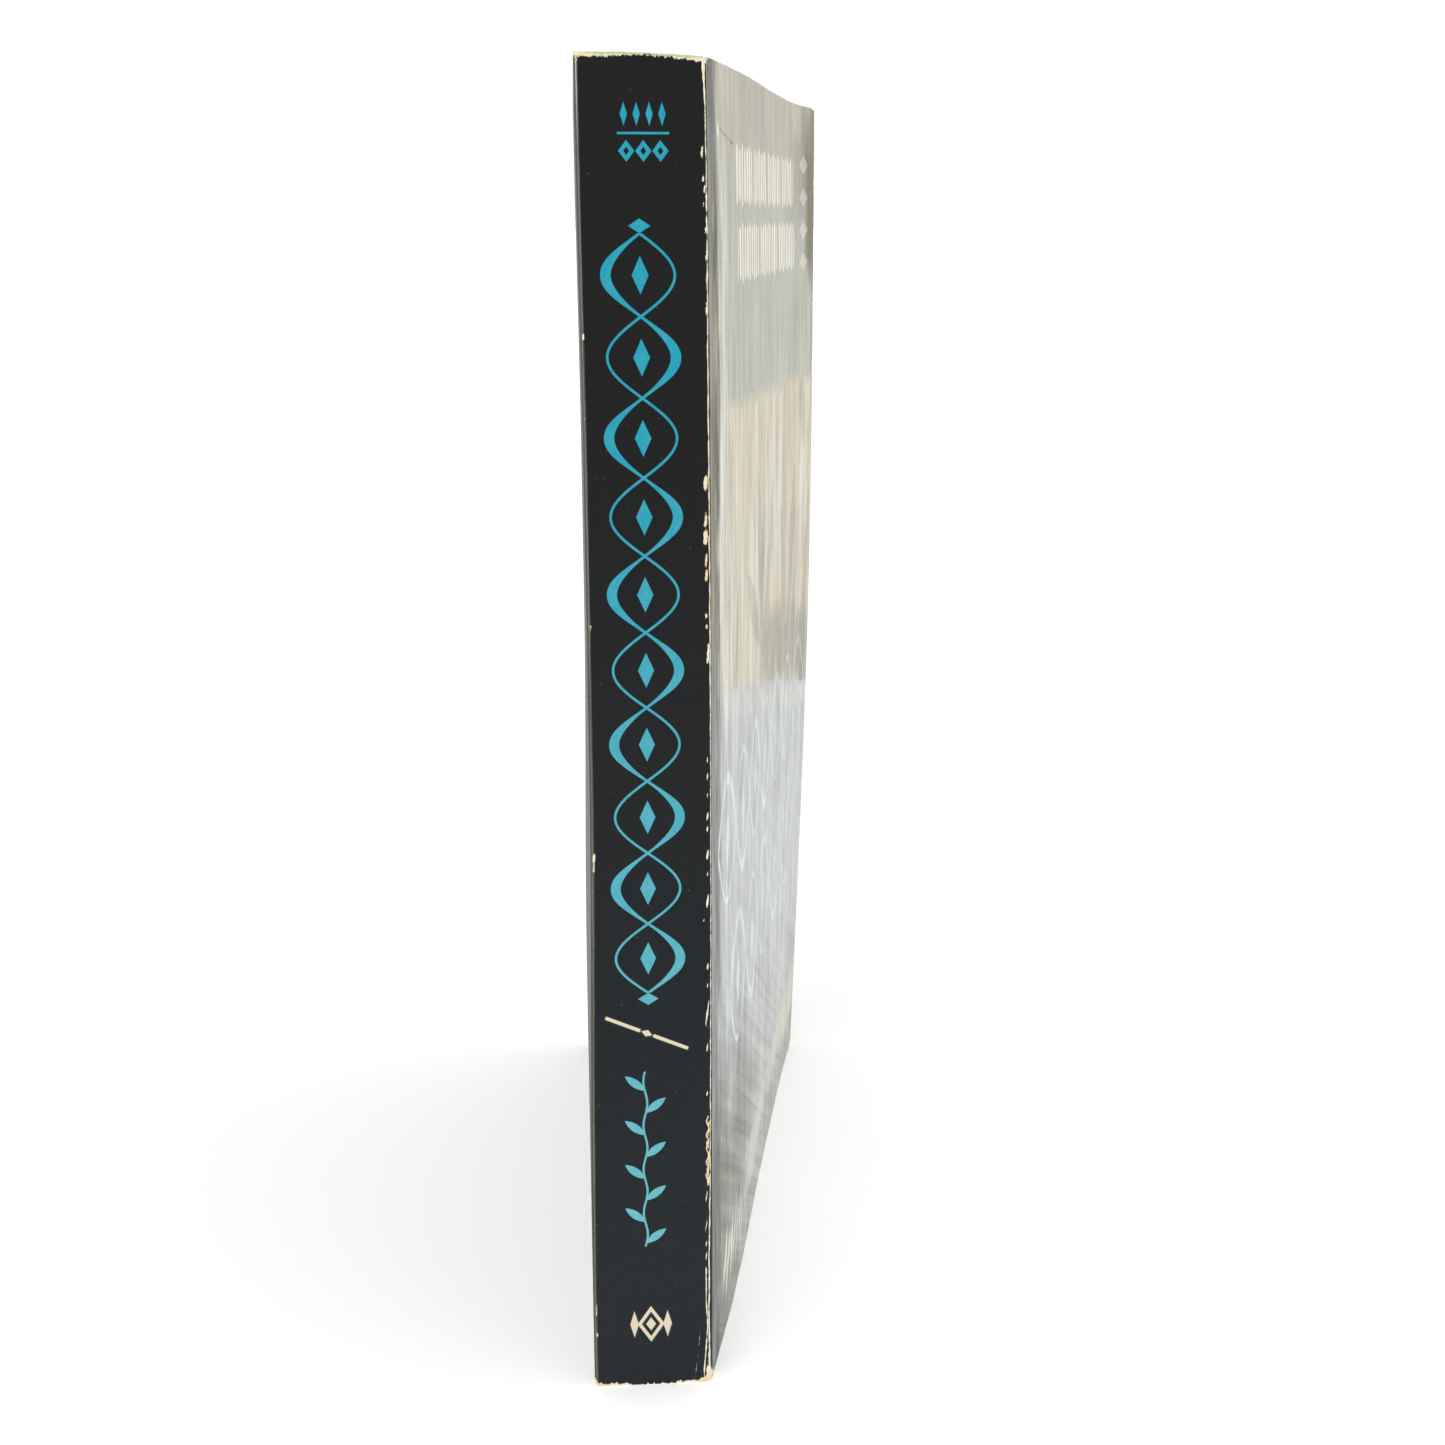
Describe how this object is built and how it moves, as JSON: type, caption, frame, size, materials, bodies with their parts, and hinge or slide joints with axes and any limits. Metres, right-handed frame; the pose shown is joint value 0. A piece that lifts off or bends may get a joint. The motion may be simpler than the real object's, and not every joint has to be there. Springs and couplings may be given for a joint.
{
  "type": "paperback book",
  "caption": "Old perfect-bound paperback standing on its tail, its front cover sprung open; both covers turn at the spine.",
  "frame": {"origin": "middle of the page block's tail, on the surface that the book stands on", "axes": "+Z from tail to head; the spine faces -Y; the front cover is on the +X side"},
  "size_m": [0.0398, 0.107, 0.165],
  "materials": {
    "page_paper": "matte",
    "binding_glue": "satin",
    "spine_card": "satin",
    "front_card": "satin",
    "back_card": "satin"
  },
  "bodies": {
    "root": {"text_block": "page_paper", "spine_glue": "binding_glue", "cover_spine": "spine_card"},
    "front_cover": {"front_cover": "front_card"},
    "back_cover": {"back_cover": "back_card"}
  },
  "joints": [
    {"name": "front_cover_hinge", "type": "hinge", "parent": "root", "child": "front_cover", "pos_m": [0.00773, -0.05327, 0.0825], "axis": [0, 0, -1], "range_deg": [-11.3, 168]},
    {"name": "back_cover_hinge", "type": "hinge", "parent": "root", "child": "back_cover", "pos_m": [-0.00775, -0.0531, 0.0825], "axis": [0, 0, 1], "range_deg": [0, 180]}
  ]
}
